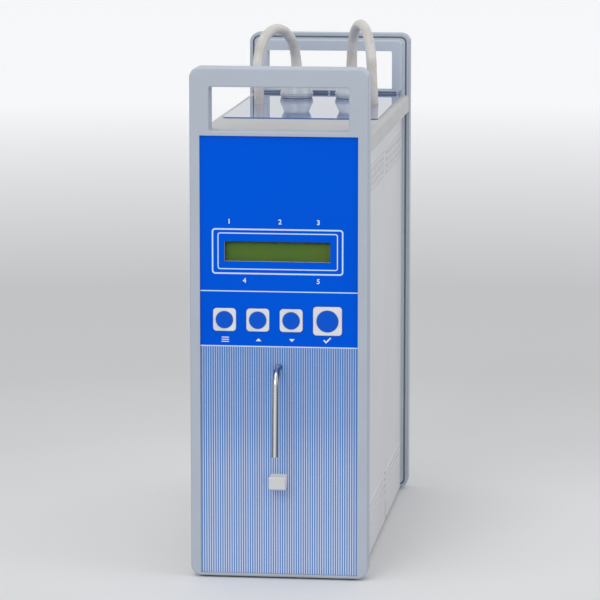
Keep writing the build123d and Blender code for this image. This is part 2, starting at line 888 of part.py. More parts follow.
with BuildPart() as heatsink:
    with BuildSketch(side_plane(board_x)):
        with Locations((board_mid_y + heatsink_shift, low_row_z)):
            Rectangle(heatsink_w, heatsink_h)
    extrude(amount=-heatsink_base_t)
    with BuildSketch(side_plane(board_x - heatsink_base_t)):
        with Locations((board_mid_y + heatsink_shift, low_row_z)):
            with GridLocations((heatsink_w - fin_t) / (fin_count - 1), 0, fin_count, 1):
                Rectangle(fin_t, heatsink_h)
    extrude(amount=-fin_h)

# Peristaltic pump: geared motor on the left of the chassis, pump head on its right

gearbox_r = 18.5
gearbox_len = 18.0
motor_r = 14.0
motor_len = 13.5
shaft_in_gearbox = 8.0
shaft_end_gap = 0.5
shaft_end_x = 8.5
pump_left_x = chassis_right_x
pump_right_x = pump_left_x + pump_depth
pump_mid_x = (pump_left_x + pump_right_x) / 2
pump_slot_gap = 0.4
tube_slot_w = 2 * (pump_tube_r + pump_slot_gap)
pump_tube_rise = 38.0
pump_tube_top_z = pump_z + pump_tube_rise
pump_cover_t = 2.5
pump_corner_r = 1.5
screw_head_r = 2.75
screw_head_t = 2.0


def along_x(x0, x1, y, z, radius, mode=Mode.ADD):
    # A round bar or hole between two widths, in the part in hand
    with BuildSketch(side_plane(x0)) as disc:
        with Locations((y, z)):
            Circle(radius)
    extrude(disc.sketch, amount=x1 - x0, mode=mode)


def pump_ring(radius, count, offset=90.0):
    # Places round the pump's axis, as (Y, Z)
    spots = PolarLocations(radius, count, offset)
    return [(pump_y + spot.position.X, pump_z + spot.position.Y) for spot in spots]


with BuildPart() as pump_motor:
    along_x(chassis_x, chassis_x - gearbox_len, pump_y, pump_z, gearbox_r)
    along_x(chassis_x - gearbox_len, chassis_x - gearbox_len - motor_len, pump_y, pump_z, motor_r)
    along_x(chassis_x, chassis_x - shaft_in_gearbox - shaft_end_gap, pump_y, pump_z, shaft_r + running_gap, Mode.SUBTRACT)

with BuildPart() as pump_head:
    with BuildSketch(side_plane(pump_left_x)):
        with Locations((pump_y, pump_z)):
            Rectangle(pump_w, pump_w)
    extrude(amount=pump_depth)
    fillet(pump_head.edges().filter_by(Axis.X), pump_corner_r)
    along_x(pump_left_x + pump_floor, pump_right_x, pump_y, pump_z, track_r, Mode.SUBTRACT)
    along_x(pump_left_x, pump_right_x, pump_y, pump_z, shaft_hole_r, Mode.SUBTRACT)
    with BuildSketch(side_plane(pump_mid_x - tube_slot_w / 2)):
        for side in (-1, 1):
            with Locations((pump_y + side * pump_tube_path_r, pump_z + pump_w / 4)):
                Rectangle(tube_slot_w, pump_w / 2)
    extrude(amount=pump_right_x - pump_mid_x + tube_slot_w / 2, mode=Mode.SUBTRACT)
    with BuildSketch(side_plane(pump_left_x)):
        with Locations((pump_y, pump_z)):
            with GridLocations(pump_screw_pitch, pump_screw_pitch, 2, 2):
                Circle(screw_r + screw_gap)
    extrude(amount=pump_depth, mode=Mode.SUBTRACT)

with BuildPart() as pump_tube:
    with BuildLine() as pump_path:
        side_in = (pump_mid_x, pump_y - pump_tube_path_r)
        side_out = (pump_mid_x, pump_y + pump_tube_path_r)
        Line((*side_in, pump_tube_top_z), (*side_in, pump_z))
        ThreePointArc(
            (*side_in, pump_z),
            (pump_mid_x, pump_y, pump_z - pump_tube_path_r),
            (*side_out, pump_z),
        )
        Line((*side_out, pump_z), (*side_out, pump_tube_top_z))
    with BuildSketch(Plane.XY.offset(pump_tube_top_z)):
        with Locations(side_in):
            Circle(pump_tube_r)
            Circle(tube_bore_r, mode=Mode.SUBTRACT)
    sweep()

with BuildPart() as pump_rotor:
    along_x(pump_mid_x - rotor_half, pump_mid_x + rotor_half, pump_y, pump_z, hub_r)
    for x0 in (pump_mid_x - rotor_half, pump_mid_x + rotor_half - rotor_disc_t):
        along_x(x0, x0 + rotor_disc_t, pump_y, pump_z, rotor_r)
    for y, z in pump_ring(roller_path_r, roller_count):
        along_x(pump_mid_x - rotor_half, pump_mid_x + rotor_half, y, z, roller_pin_r)
    along_x(chassis_x - shaft_in_gearbox, shaft_end_x, pump_y, pump_z, shaft_r)


def make_roller(y, z):
    half = rotor_half - rotor_disc_t - roller_end_gap
    with BuildPart() as roller:
        along_x(pump_mid_x - half, pump_mid_x + half, y, z, roller_r)
        along_x(pump_mid_x - half, pump_mid_x + half, y, z, roller_pin_r + running_gap, Mode.SUBTRACT)
    return roller.part


with BuildPart() as pump_cover:
    with BuildSketch(side_plane(pump_right_x)):
        with Locations((pump_y, pump_z)):
            Rectangle(pump_w, pump_w)
            with GridLocations(pump_screw_pitch, pump_screw_pitch, 2, 2):
                Circle(screw_r + screw_gap, mode=Mode.SUBTRACT)
    extrude(amount=pump_cover_t)

with BuildPart() as pump_screws:
    with BuildSketch(side_plane(chassis_x)):
        with Locations((pump_y, pump_z)):
            with GridLocations(pump_screw_pitch, pump_screw_pitch, 2, 2):
                Circle(screw_r)
    extrude(amount=pump_right_x + pump_cover_t - chassis_x)
    with BuildSketch(side_plane(pump_right_x + pump_cover_t)):
        with Locations((pump_y, pump_z)):
            with GridLocations(pump_screw_pitch, pump_screw_pitch, 2, 2):
                Circle(screw_head_r)
    extrude(amount=screw_head_t)

# Measuring cell: a block with a sound path between two transducers, warmed by a pad

cell_left_x = chassis_right_x + cell_seat_t
cell_right_x = cell_left_x + cell_w
port_len = 4.0
outlet_drop = 11.0
outlet_z = cell_z1 - outlet_drop
flush_x = 8.0
flush_drop = 24.0
flush_z = outlet_z - flush_drop
transducer_r = 10.0
transducer_h = 12.0
heater_t = 1.5
heater_inset = 2.0
sensor_drop = 20.0
sensor_z = flush_z - sensor_drop
sensor_len = 12.0


def along_y(y0, y1, x, z, radius, mode=Mode.ADD):
    # A round bar or hole between two depths, in the part in hand
    with BuildSketch(facing(y0)) as disc:
        with Locations((x, z)):
            Circle(radius)
    extrude(disc.sketch, amount=y0 - y1, mode=mode)


with BuildPart() as cell_block:
    with BuildSketch(side_plane(cell_left_x)):
        with Locations((cell_mid_y, cell_mid_z)):
            Rectangle(cell_d, cell_z1 - cell_z0)
    extrude(amount=cell_w)
    along_y(cell_front_y - port_len, cell_front_y, 0, pipe_z, tube_r)
    along_y(cell_back_y, cell_back_y + port_len, 0, outlet_z, tube_r)
    along_y(cell_back_y, cell_back_y + port_len, flush_x, flush_z, tube_r)
    upright(cell_x, cell_mid_y, cell_z0, cell_z1, cell_bore_r, Mode.SUBTRACT)
    along_y(cell_front_y - port_len, cell_mid_y, 0, pipe_z, tube_bore_r, Mode.SUBTRACT)
    along_y(cell_mid_y, cell_back_y + port_len, 0, outlet_z, tube_bore_r, Mode.SUBTRACT)
    along_y(cell_mid_y, cell_back_y + port_len, flush_x, flush_z, tube_bore_r, Mode.SUBTRACT)

with BuildPart() as transducers:
    upright(cell_x, cell_mid_y, cell_z0 - transducer_h, cell_z0, transducer_r)
    upright(cell_x, cell_mid_y, cell_z1, cell_z1 + transducer_h, transducer_r)

with BuildPart() as cell_heater:
    with BuildSketch(side_plane(cell_right_x)):
        with Locations((cell_mid_y, cell_mid_z)):
            Rectangle(cell_d - 2 * heater_inset, cell_z1 - cell_z0 - 2 * cell_seat_inset)
    extrude(amount=heater_t)

with BuildPart() as temperature_sensor:
    along_y(cell_back_y, cell_back_y + sensor_len, flush_x, sensor_z, tube_r)

# Inner tubes, from port to port

pump_port_z = pump_tube_top_z
union_port_z = spigot_end_z
tube_clear = 15.0
tube_clear_z = chassis_z1 + tube_clear
tube_slack = 5.0
tube_run = 20.0

with BuildPart() as sample_tube:
    along_y(front_y + pipe_inside, cell_front_y - port_len, 0, pipe_z, tube_r)
    along_y(front_y + pipe_inside, cell_front_y - port_len, 0, pipe_z, tube_bore_r, Mode.SUBTRACT)

cell_tube_points = [
    (0, cell_back_y + port_len, outlet_z),
    (0, cell_back_y + port_len + tube_run, outlet_z),
    (0, mid_y + 2 * tube_slack, tube_clear_z),
    (-hose_foot_x, hose_foot_y, tube_clear_z + 2 * tube_slack),
    (-hose_foot_x, hose_foot_y, union_port_z),
]
flush_tube_points = [
    (hose_foot_x, hose_foot_y, union_port_z),
    (hose_foot_x, hose_foot_y, tube_clear_z + tube_slack),
    (hose_foot_x / 2, mid_y, cell_z1),
    (flush_x, cell_back_y + port_len + tube_run, flush_z),
    (flush_x, cell_back_y + port_len, flush_z),
]
inlet_tube_points = [
    (pump_mid_x, pump_y - pump_tube_path_r, pump_port_z),
    (pump_mid_x, pump_y - pump_tube_path_r, chassis_z1),
    (-union_x, union_y, tube_clear_z + tube_slack),
    (-union_x, union_y, union_port_z),
]
outlet_tube_points = [
    (pump_mid_x, pump_y + pump_tube_path_r, pump_port_z),
    (pump_mid_x, pump_y + pump_tube_path_r, chassis_z1 - 2 * tube_slack),
    (union_x, union_y, tube_clear_z + tube_slack),
    (union_x, union_y, union_port_z),
]
inner_tube_bend_r = 8.0
cell_tubes = Compound(children=[
    tube_through(cell_tube_points, inner_tube_bend_r, tube_r, tube_bore_r),
    tube_through(flush_tube_points, inner_tube_bend_r, tube_r, tube_bore_r),
])
pump_tubes = Compound(children=[
    tube_through(inlet_tube_points, inner_tube_bend_r, tube_r, tube_bore_r),
    tube_through(outlet_tube_points, inner_tube_bend_r, tube_r, tube_bore_r),
])

# Rear panel and the fittings in it

switch_body_w = 13.0
switch_body_h = 19.0
switch_body_d = 14.0
switch_rim = 1.2
switch_rim_t = 1.5
rocker_w = 9.6
rocker_len = 15.0
rocker_side_gap = 0.3
rocker_end_gap = 0.9
rocker_rise = 2.0
rocker_end_rise = 2.9
rocker_depth = 1.6
rocker_taper = 0.72
rocker_pin_r = 1.0
rocker_pin_seat = 0.8
rocker_sink = 1.0
switch_pocket_d = 9.0
inlet_r = 5.5
inlet_flange_r = 7.0
inlet_flange_t = 1.5
inlet_d = 12.0
inlet_bore_r = 3.2
inlet_pin_r = 1.0
inlet_floor_t = 2.0
fuse_r = 6.2
fuse_flange_r = 8.0
fuse_d = 30.0
fuse_cap_r = 6.0
fuse_cap_t = 3.5
fuse_cap_edge = 0.6
fuse_slot_w = 1.2
fuse_stem_end_gap = 0.5
fuse_stem_r = 4.0
fuse_stem_len = 20.0
fuse_gap = 0.08
serial_body_w = 18.0
serial_body_h = 10.0
serial_body_d = 9.0
serial_flange_w = 31.0
serial_flange_h = 12.6
serial_flange_t = 1.0
serial_shell_w = 16.8
serial_shell_h = 8.2
serial_shell_d = 4.8
serial_shell_wall = 0.6
serial_pin_r = 0.55
serial_pin_short = 1.0
serial_flange_corner_r = 1.5
serial_shell_angle = 80
serial_pitch = 2.77
serial_row = 2.84
jackscrew_x = 12.5
jackscrew_r = 2.7
jackscrew_h = 4.5
rear_vent_w = 44.0
rear_vent_h = 2.0
rear_vent_pitch = 6.0
rear_vent_rows = 6
rear_vent_drop = 45.6
rear_vent_z = panel_z1 - rear_vent_drop
panel_screw_inset = 4.0
panel_screw_low = 9.1
panel_screw_high = 10.6
panel_screw_x = panel_w / 2 - panel_screw_inset
panel_screw_low_z = panel_z0 + panel_screw_low
panel_screw_high_z = panel_z1 - panel_screw_high
panel_screw_mid_z = (panel_screw_low_z + panel_screw_high_z) / 2
panel_screw_zs = (panel_screw_low_z, panel_screw_mid_z, panel_screw_high_z)
panel_screw_spots = [(side * panel_screw_x, z) for z in panel_screw_zs for side in (-1, 1)]

with BuildPart() as rear_panel:
    with BuildSketch(facing(rear_face_y)):
        with Locations((0, front_panel_mid_z)):
            Rectangle(panel_w, front_panel_h)
        with Locations((switch_x, socket_row_z)):
            Rectangle(switch_body_w + 2 * seat_gap, switch_body_h + 2 * seat_gap, mode=Mode.SUBTRACT)
        with Locations((inlet_x, socket_row_z)):
            Circle(inlet_r + seat_gap, mode=Mode.SUBTRACT)
        with Locations((fuse_x, socket_row_z)):
            Circle(fuse_r + seat_gap, mode=Mode.SUBTRACT)
        with Locations((0, serial_z)):
            Rectangle(serial_body_w + 2 * seat_gap, serial_body_h + 2 * seat_gap, mode=Mode.SUBTRACT)
        with Locations((-jackscrew_x, serial_z), (jackscrew_x, serial_z)):
            Circle(screw_r + seat_gap, mode=Mode.SUBTRACT)
        with Locations((0, rear_vent_z)):
            with GridLocations(0, rear_vent_pitch, 1, rear_vent_rows):
                SlotOverall(rear_vent_w, rear_vent_h, mode=Mode.SUBTRACT)
        with Locations(*panel_screw_spots):
            Circle(screw_r + seat_gap, mode=Mode.SUBTRACT)
    extrude(amount=panel_t)

with BuildPart() as panel_screws:
    for x, z in panel_screw_spots:
        along_y(rear_panel_y, rear_face_y, x, z, screw_r)
        along_y(rear_face_y, rear_face_y + screw_head_t, x, z, screw_head_r)

# Power switch: the rocker's axis runs along X, and at rest its lower end is pressed in

rocker_y = rear_face_y - rocker_sink
rocker_pin_half = rocker_w / 2 + rocker_side_gap + rocker_pin_seat

with BuildPart() as switch_body:
    with BuildSketch(facing(rear_face_y)):
        with Locations((switch_x, socket_row_z)):
            Rectangle(switch_body_w, switch_body_h)
    extrude(amount=switch_body_d)
    with BuildSketch(facing(rear_face_y)):
        with Locations((switch_x, socket_row_z)):
            RectangleRounded(
                switch_body_w + 2 * switch_rim,
                switch_body_h + 2 * switch_rim,
                switch_rim,
            )
    extrude(amount=-switch_rim_t)
    with BuildSketch(facing(rear_face_y + switch_rim_t)):
        with Locations((switch_x, socket_row_z)):
            Rectangle(
                rocker_w + 2 * rocker_side_gap,
                rocker_len + 2 * rocker_end_gap,
            )
    extrude(amount=switch_pocket_d, mode=Mode.SUBTRACT)
    along_x(
        switch_x - rocker_pin_half - seat_gap,
        switch_x + rocker_pin_half + seat_gap,
        rocker_y,
        socket_row_z,
        rocker_pin_r + running_gap,
        Mode.SUBTRACT,
    )

tilted = Plane(
    origin=(switch_x - rocker_w / 2, rocker_y, socket_row_z),
    x_dir=Vector(0, 1, 0).rotate(Axis.X, -rocker_tilt),
    z_dir=(1, 0, 0),
)

with BuildPart() as power_rocker:
    with BuildSketch(tilted):
        with BuildLine():
            half = rocker_len / 2
            Polyline(
                (rocker_end_rise, -half),
                (rocker_rise, 0.0),
                (rocker_end_rise, half),
                (-rocker_depth, half * rocker_taper),
                (-rocker_depth, -half * rocker_taper),
                (rocker_end_rise, -half),
            )
        make_face()
    extrude(amount=rocker_w)
    along_x(
        switch_x - rocker_pin_half,
        switch_x + rocker_pin_half,
        rocker_y,
        socket_row_z,
        rocker_pin_r,
    )

with BuildPart() as dc_inlet:
    along_y(rear_face_y - inlet_d, rear_face_y, inlet_x, socket_row_z, inlet_r)
    along_y(rear_face_y, rear_face_y + inlet_flange_t, inlet_x, socket_row_z, inlet_flange_r)
    along_y(
        rear_face_y - inlet_d + inlet_floor_t,
        rear_face_y + inlet_flange_t,
        inlet_x,
        socket_row_z,
        inlet_bore_r,
        Mode.SUBTRACT,
    )
    along_y(rear_face_y - inlet_d + inlet_floor_t / 2, rear_face_y, inlet_x, socket_row_z, inlet_pin_r)

with BuildPart() as fuse_holder:
    along_y(rear_face_y - fuse_d, rear_face_y, fuse_x, socket_row_z, fuse_r)
    along_y(rear_face_y, rear_face_y + inlet_flange_t, fuse_x, socket_row_z, fuse_flange_r)
    along_y(
        rear_face_y - fuse_stem_len - fuse_stem_end_gap,
        rear_face_y + inlet_flange_t,
        fuse_x,
        socket_row_z,
        fuse_stem_r + fuse_gap,
        Mode.SUBTRACT,
    )

fuse_cap_y = rear_face_y + inlet_flange_t + seat_gap

with BuildPart() as fuse_cap:
    along_y(rear_face_y - fuse_stem_len, fuse_cap_y, fuse_x, socket_row_z, fuse_stem_r)
    along_y(fuse_cap_y, fuse_cap_y + fuse_cap_t, fuse_x, socket_row_z, fuse_cap_r)
    chamfer(fuse_cap.faces().sort_by(Axis.Y)[-1].edges(), fuse_cap_edge)
    with BuildSketch(facing(fuse_cap_y + fuse_cap_t)):
        with Locations((fuse_x, socket_row_z)):
            Rectangle(1.5 * fuse_cap_r, fuse_slot_w)
    extrude(amount=fuse_slot_w, mode=Mode.SUBTRACT)

with BuildPart() as serial_port:
    with BuildSketch(facing(rear_face_y)):
        with Locations((0, serial_z)):
            Rectangle(serial_body_w, serial_body_h)
    extrude(amount=serial_body_d)
    with BuildSketch(facing(rear_face_y)):
        with Locations((0, serial_z)):
            RectangleRounded(serial_flange_w, serial_flange_h, serial_flange_corner_r)
        with Locations((-jackscrew_x, serial_z), (jackscrew_x, serial_z)):
            Circle(screw_r + seat_gap, mode=Mode.SUBTRACT)
    extrude(amount=-serial_flange_t)
    with BuildSketch(facing(rear_face_y + serial_flange_t)):
        with Locations((0, serial_z)):
            Trapezoid(serial_shell_w, serial_shell_h, serial_shell_angle, rotation=180)
            Trapezoid(
                serial_shell_w - 2.3 * serial_shell_wall,
                serial_shell_h - 2 * serial_shell_wall,
                serial_shell_angle,
                rotation=180,
                mode=Mode.SUBTRACT,
            )
    extrude(amount=-serial_shell_d)
    with BuildSketch(facing(rear_face_y + serial_flange_t)):
        for row, count in ((0.5, 5), (-0.5, 4)):
            with Locations((0, serial_z + row * serial_row)):
                with GridLocations(serial_pitch, 0, count, 1):
                    Circle(serial_pin_r)
    extrude(amount=-(serial_shell_d - serial_pin_short))
    with BuildSketch(facing(rear_face_y + serial_flange_t)):
        with Locations((-jackscrew_x, serial_z), (jackscrew_x, serial_z)):
            RegularPolygon(jackscrew_r, 6)
            Circle(screw_r - thread_gap, mode=Mode.SUBTRACT)
    extrude(amount=-jackscrew_h)

# Write every piece

finished = {
    "front_bezel": front_bezel,
    "front_liner": front_liner,
    "rear_bezel": rear_bezel,
    "rear_liner": rear_liner,
    "front_panel": front_panel.part,
    "front_film": front_film.part,
    "display_window": display_window.part,
    "lcd_frame": lcd_frame.part,
    "lcd_glass": lcd_glass.part,
    "lcd_board": lcd_board.part,
    "keypad_board": keypad_board.part,
    "sample_pipe": sample_pipe,
    "pipe_gland": pipe_gland.part,
    "cup_hook": cup_hook.part,
    "left_side_panel": left_side,
    "right_side_panel": right_side,
    "top_cover": top_cover.part,
    "top_plate": top_plate.part,
    "base_plate": base_plate.part,
    "rubber_feet": rubber_feet.part,
    "left_hose": make_hose("left hose", left_hose_points),
    "right_hose": make_hose("right hose", right_hose_points),
    "union_bodies": union_bodies.part,
    "left_union_knob": make_union_knob(-union_x),
    "right_union_knob": make_union_knob(union_x),
    "hose_tails": hose_tails.part,
    "hose_sockets": hose_sockets.part,
    "chassis_plate": chassis_plate.part,
    "main_board": main_board.part,
    "board_standoffs": board_standoffs.part,
    "heatsink": heatsink.part,
    "pump_motor": pump_motor.part,
    "pump_head": pump_head.part,
    "pump_rotor": pump_rotor.part,
    "pump_tube": pump_tube.part,
    "pump_cover": pump_cover.part,
    "pump_screws": pump_screws.part,
    "cell_block": cell_block.part,
    "transducers": transducers.part,
    "cell_heater": cell_heater.part,
    "temperature_sensor": temperature_sensor.part,
    "sample_tube": sample_tube.part,
    "cell_tubes": cell_tubes,
    "pump_tubes": pump_tubes,
    "rear_panel": rear_panel.part,
    "panel_screws": panel_screws.part,
    "switch_body": switch_body.part,
    "power_rocker": power_rocker.part,
    "dc_inlet": dc_inlet.part,
    "fuse_holder": fuse_holder.part,
    "fuse_cap": fuse_cap.part,
    "serial_port": serial_port.part,
}
finished.update(keys)
for number, (y, z) in enumerate(pump_ring(roller_path_r, roller_count), start=1):
    finished[f"pump_roller_{number}"] = make_roller(y, z)

for label, part in finished.items():
    save(part, label)
print(len(finished), "pieces written")
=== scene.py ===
import json
import math

import bmesh
import bpy
from mathutils import Matrix, Vector


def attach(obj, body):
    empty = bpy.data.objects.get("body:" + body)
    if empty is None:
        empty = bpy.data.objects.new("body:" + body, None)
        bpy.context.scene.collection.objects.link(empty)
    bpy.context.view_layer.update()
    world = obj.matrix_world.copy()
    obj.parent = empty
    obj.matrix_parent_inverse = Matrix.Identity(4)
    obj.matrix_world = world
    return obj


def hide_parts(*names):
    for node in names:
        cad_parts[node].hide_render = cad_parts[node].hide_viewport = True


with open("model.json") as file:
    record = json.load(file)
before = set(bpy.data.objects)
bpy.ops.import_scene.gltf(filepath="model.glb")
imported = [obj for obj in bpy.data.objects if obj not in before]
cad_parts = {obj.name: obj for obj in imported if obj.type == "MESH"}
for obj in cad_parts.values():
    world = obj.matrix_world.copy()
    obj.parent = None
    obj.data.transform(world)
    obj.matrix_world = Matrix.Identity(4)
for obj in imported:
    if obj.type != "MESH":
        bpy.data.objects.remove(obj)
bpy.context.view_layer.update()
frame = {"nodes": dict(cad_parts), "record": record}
print("packed model loaded:", len(frame["nodes"]), "nodes")


# Shader maths: a socket that can be added, multiplied and compared
class Value:
    def __init__(self, finish, socket):
        self.finish = finish
        self.socket = socket

    def math(self, operation, *others):
        return self.finish.value("ShaderNodeMath", {"operation": operation}, (self, *others))

    def __add__(self, other):
        return self.math("ADD", other)

    def __sub__(self, other):
        return self.math("SUBTRACT", other)

    def __rsub__(self, other):
        return (self * -1.0) + other

    def __mul__(self, other):
        return self.math("MULTIPLY", other)

    def __truediv__(self, other):
        return self.math("DIVIDE", other)

    def __abs__(self):
        return self.math("ABSOLUTE")

    def __lt__(self, other):
        return self.math("LESS_THAN", other)

    def __mod__(self, other):
        return self.math("FLOORED_MODULO", other)


# A material, made of a Principled shader and what feeds it
class Finish:
    def __init__(self, name, **settings):
        self.material = bpy.data.materials.new(name)
        self.material.use_nodes = True
        self.tree = self.material.node_tree
        self.tree.nodes.clear()
        self.shader = self.node("ShaderNodeBsdfPrincipled")
        self.node("ShaderNodeOutputMaterial", {}, {"Surface": self.shader.outputs[0]})
        for socket, value in settings.items():
            self.feed(socket.replace("_", " "), value)

    # Every node comes from here: its settings first, then the values or links of its sockets
    def node(self, kind, settings=None, sockets=()):
        made = self.tree.nodes.new(kind)
        for key, value in (settings or {}).items():
            if key == "stops":
                self.setStops(made.color_ramp, value)
            else:
                setattr(made, key, value)
        pairs = sockets.items() if isinstance(sockets, dict) else enumerate(sockets)
        for key, value in pairs:
            self.join(made.inputs[key], value)
        return made

    def setStops(self, ramp, stops):
        while len(ramp.elements) < len(stops):
            ramp.elements.new(1.0)
        for element, (place, colour) in zip(ramp.elements, stops):
            element.position = place
            element.color = (*colour, 1.0)

    def join(self, socket, value):
        if isinstance(value, Value):
            value = value.socket
        if isinstance(value, bpy.types.NodeSocket):
            self.tree.links.new(value, socket)
        elif socket.type == "RGBA" and len(value) == 3:
            socket.default_value = (*value, 1.0)
        else:
            socket.default_value = value

    def feed(self, socket, value):
        self.join(self.shader.inputs[socket], value)

    def value(self, kind, settings=None, sockets=(), output=0):
        return Value(self, self.node(kind, settings, sockets).outputs[output])

    def place(self):
        # Object coordinates in millimetres, as three values
        source = self.node("ShaderNodeTexCoord").outputs["Object"]
        parts = self.node("ShaderNodeSeparateXYZ", {}, (source,))
        return [Value(self, socket) * 1000.0 for socket in parts.outputs]

    def objectPlace(self):
        return self.node("ShaderNodeTexCoord").outputs["Object"]

    def noise(self, scale, detail=3.0, roughness=0.5, stretch=None):
        source = self.objectPlace()
        if stretch:
            source = self.node("ShaderNodeMapping", {}, {"Vector": source, "Scale": stretch}).outputs[0]
        sockets = {"Vector": source, "Scale": scale, "Detail": detail, "Roughness": roughness}
        return self.value("ShaderNodeTexNoise", {}, sockets)

    def cells(self, scale):
        sockets = {"Vector": self.objectPlace(), "Scale": scale}
        return self.value("ShaderNodeTexVoronoi", {}, sockets)

    def mix(self, share, first, second):
        made = self.node("ShaderNodeMix", {"data_type": "RGBA"})
        colours = [socket for socket in made.inputs if socket.type == "RGBA"]
        self.join(made.inputs[0], share)
        self.join(colours[0], first)
        self.join(colours[1], second)
        return next(socket for socket in made.outputs if socket.type == "RGBA")

    def bump(self, height, distance, strength=1.0):
        sockets = {"Height": height, "Distance": distance, "Strength": strength}
        self.feed("Normal", self.node("ShaderNodeBump", {}, sockets).outputs[0])

    def ramp(self, source, stops):
        return self.node("ShaderNodeValToRGB", {"stops": stops}, (source,)).outputs[0]

    def grade(self, source, stops):
        # A plain number that runs through the stops
        return Value(self, self.ramp(source, [(place, (level, level, level)) for place, level in stops]))

    def soften(self, source, low, high):
        # 0 below low, 1 above high, smooth between
        sockets = {"Value": source, "From Min": low, "From Max": high}
        return self.value("ShaderNodeMapRange", {"interpolation_type": "SMOOTHSTEP"}, sockets)


# Distance from the middle at which the painted shade on the frames' outer faces begins and ends, in millimetres
frameShadeFlank = (51.2, 51.9)


# Moulded plastic: fine texture, slight mottling, duller where it is rougher, and painted shade on the outer faces
# where a shade colour is given
def mouldedPlastic(name, colour, shade, roughness=0.42, flank=None):
    made = Finish(name, Specular_IOR_Level=0.45)
    mottle = made.noise(38.0, 4.0)
    fine = made.noise(900.0, 2.0)
    ground = made.ramp(mottle, [(0.3, shade), (0.7, colour)])
    if flank:
        # Painted shade: the outer faces are darker, as the light falls there
        x, y, z = made.place()
        ground = made.mix(made.soften(abs(x), *frameShadeFlank), ground, flank)
    made.feed("Base Color", ground)
    made.feed("Roughness", fine * 0.12 + (roughness - 0.06))
    made.bump(fine, 0.00006, 0.35)
    return made.material


# Louvre hoods of the side panels, in millimetres; section is (out from the wall, up)
louvre = {
    "length": 100.0,
    "endRise": 0.6,
    "taper": 3.0,
    "section": [(-0.05, 1.75), (0.40, 1.55), (0.75, 1.15), (0.95, 0.60), (0.92, 0.14), (0.70, 0.05), (0.58, 0.45),
                (0.15, 1.15), (-0.05, 1.30)],
    "wall": 47.2,
    "middle": 20.0,
    "step": 112.0,
    "rows": 4,
    "pitch": 4.1,
    "heights": {"Top": 229.2, "Low": 27.0},
    "shade": 0.65,
    "shadeDrop": 0.5,
    "shadeEdge": (0.5, 1.2),
}


# Painted sheet metal, with a soft shade under each louvre hood where a shadow colour is given
def paintedSheet(name, colour, shade, roughness=0.5, shadow=None):
    made = Finish(name, Specular_IOR_Level=0.4)
    mottle = made.noise(14.0, 3.0)
    orange = made.noise(650.0, 1.0)
    ground = made.ramp(mottle, [(0.3, shade), (0.7, colour)])
    if shadow:
        x, y, z = made.place()
        pitch = louvre["pitch"]
        reach = louvre["length"] / 2
        along = 1.0 - made.soften(abs(abs(y - louvre["middle"]) - louvre["step"] / 2), reach - 1.0, reach + 0.5)
        for height in louvre["heights"].values():
            rows = 1.0 - made.soften(abs(z - height), 2 * pitch - 0.2, 2 * pitch + 0.2)
            above = ((z - height) / pitch).math("FRACT") * pitch - pitch / 2
            under = 1.0 - made.soften(abs(above + louvre["shadeDrop"]), *louvre["shadeEdge"])
            ground = made.mix(under * rows * along * louvre["shade"], ground, shadow)
    made.feed("Base Color", ground)
    made.feed("Roughness", orange * 0.14 + (roughness - 0.07))
    made.bump(orange, 0.00008, 0.3)
    return made.material


def steel(name, colour=(0.62, 0.61, 0.60), roughness=0.22, stretch=(1.0, 1.0, 0.05)):
    made = Finish(name, Metallic=1.0)
    lines = made.noise(900.0, 2.0, stretch=stretch)
    cloud = made.noise(60.0, 3.0)
    dark = tuple(channel * 0.82 for channel in colour)
    made.feed("Base Color", made.ramp(cloud, [(0.25, dark), (0.75, colour)]))
    made.feed("Roughness", lines * 0.16 + (roughness - 0.08))
    made.bump(lines, 0.00002, 0.3)
    return made.material


# The printed film: colours, then the places and widths of its lines in millimetres
film = {
    "blue": (0.0, 0.100, 0.73),
    "deepBlue": (0.0, 0.090, 0.68),
    "stripeBlue": (0.10, 0.235, 0.56),
    "stripePale": (0.62, 0.68, 0.81),
    "print": (0.66, 0.77, 0.93),
    "printHigh": -129.05,
    "upperLine": 170.1,
    "lowerLine": 137.8,
    "lineWidth": 0.6,
    "lineSoft": 0.12,
    "stripePitch": 1.355,
    "stripeShares": [(0.0, 0.20), (0.33, 0.29), (0.51, 0.41), (1.0, 0.50)],
    # left, right, low, high, line width, corner
    "boxes": [(-38.7, 37.1, 180.5, 206.3, 0.85, 1.6), (-35.5, 34.1, 183.1, 204.0, 0.6, 1.2)],
    "digitSize": 3.9,
    "digitWeight": 0.09,
    "digits": [("1", -29.0, 210.7), ("2", 0.7, 210.7), ("3", 23.0, 210.7), ("4", -20.0, 176.3), ("5", 23.0, 176.3)],
    "legendHeight": 141.7,
    "ink": (0.84, 0.88, 0.96),
    "thinInk": (0.74, 0.80, 0.92),
}


def roundedBox(x, z, left, right, low, high, corner):
    # Distance outside a rounded rectangle on the film, in millimetres
    dx = abs(x - (left + right) / 2) - ((right - left) / 2 - corner)
    dz = abs(z - (low + high) / 2) - ((high - low) / 2 - corner)
    outX = dx.math("MAXIMUM", 0.0)
    outZ = dz.math("MAXIMUM", 0.0)
    return (outX * outX + outZ * outZ).math("SQRT") - corner


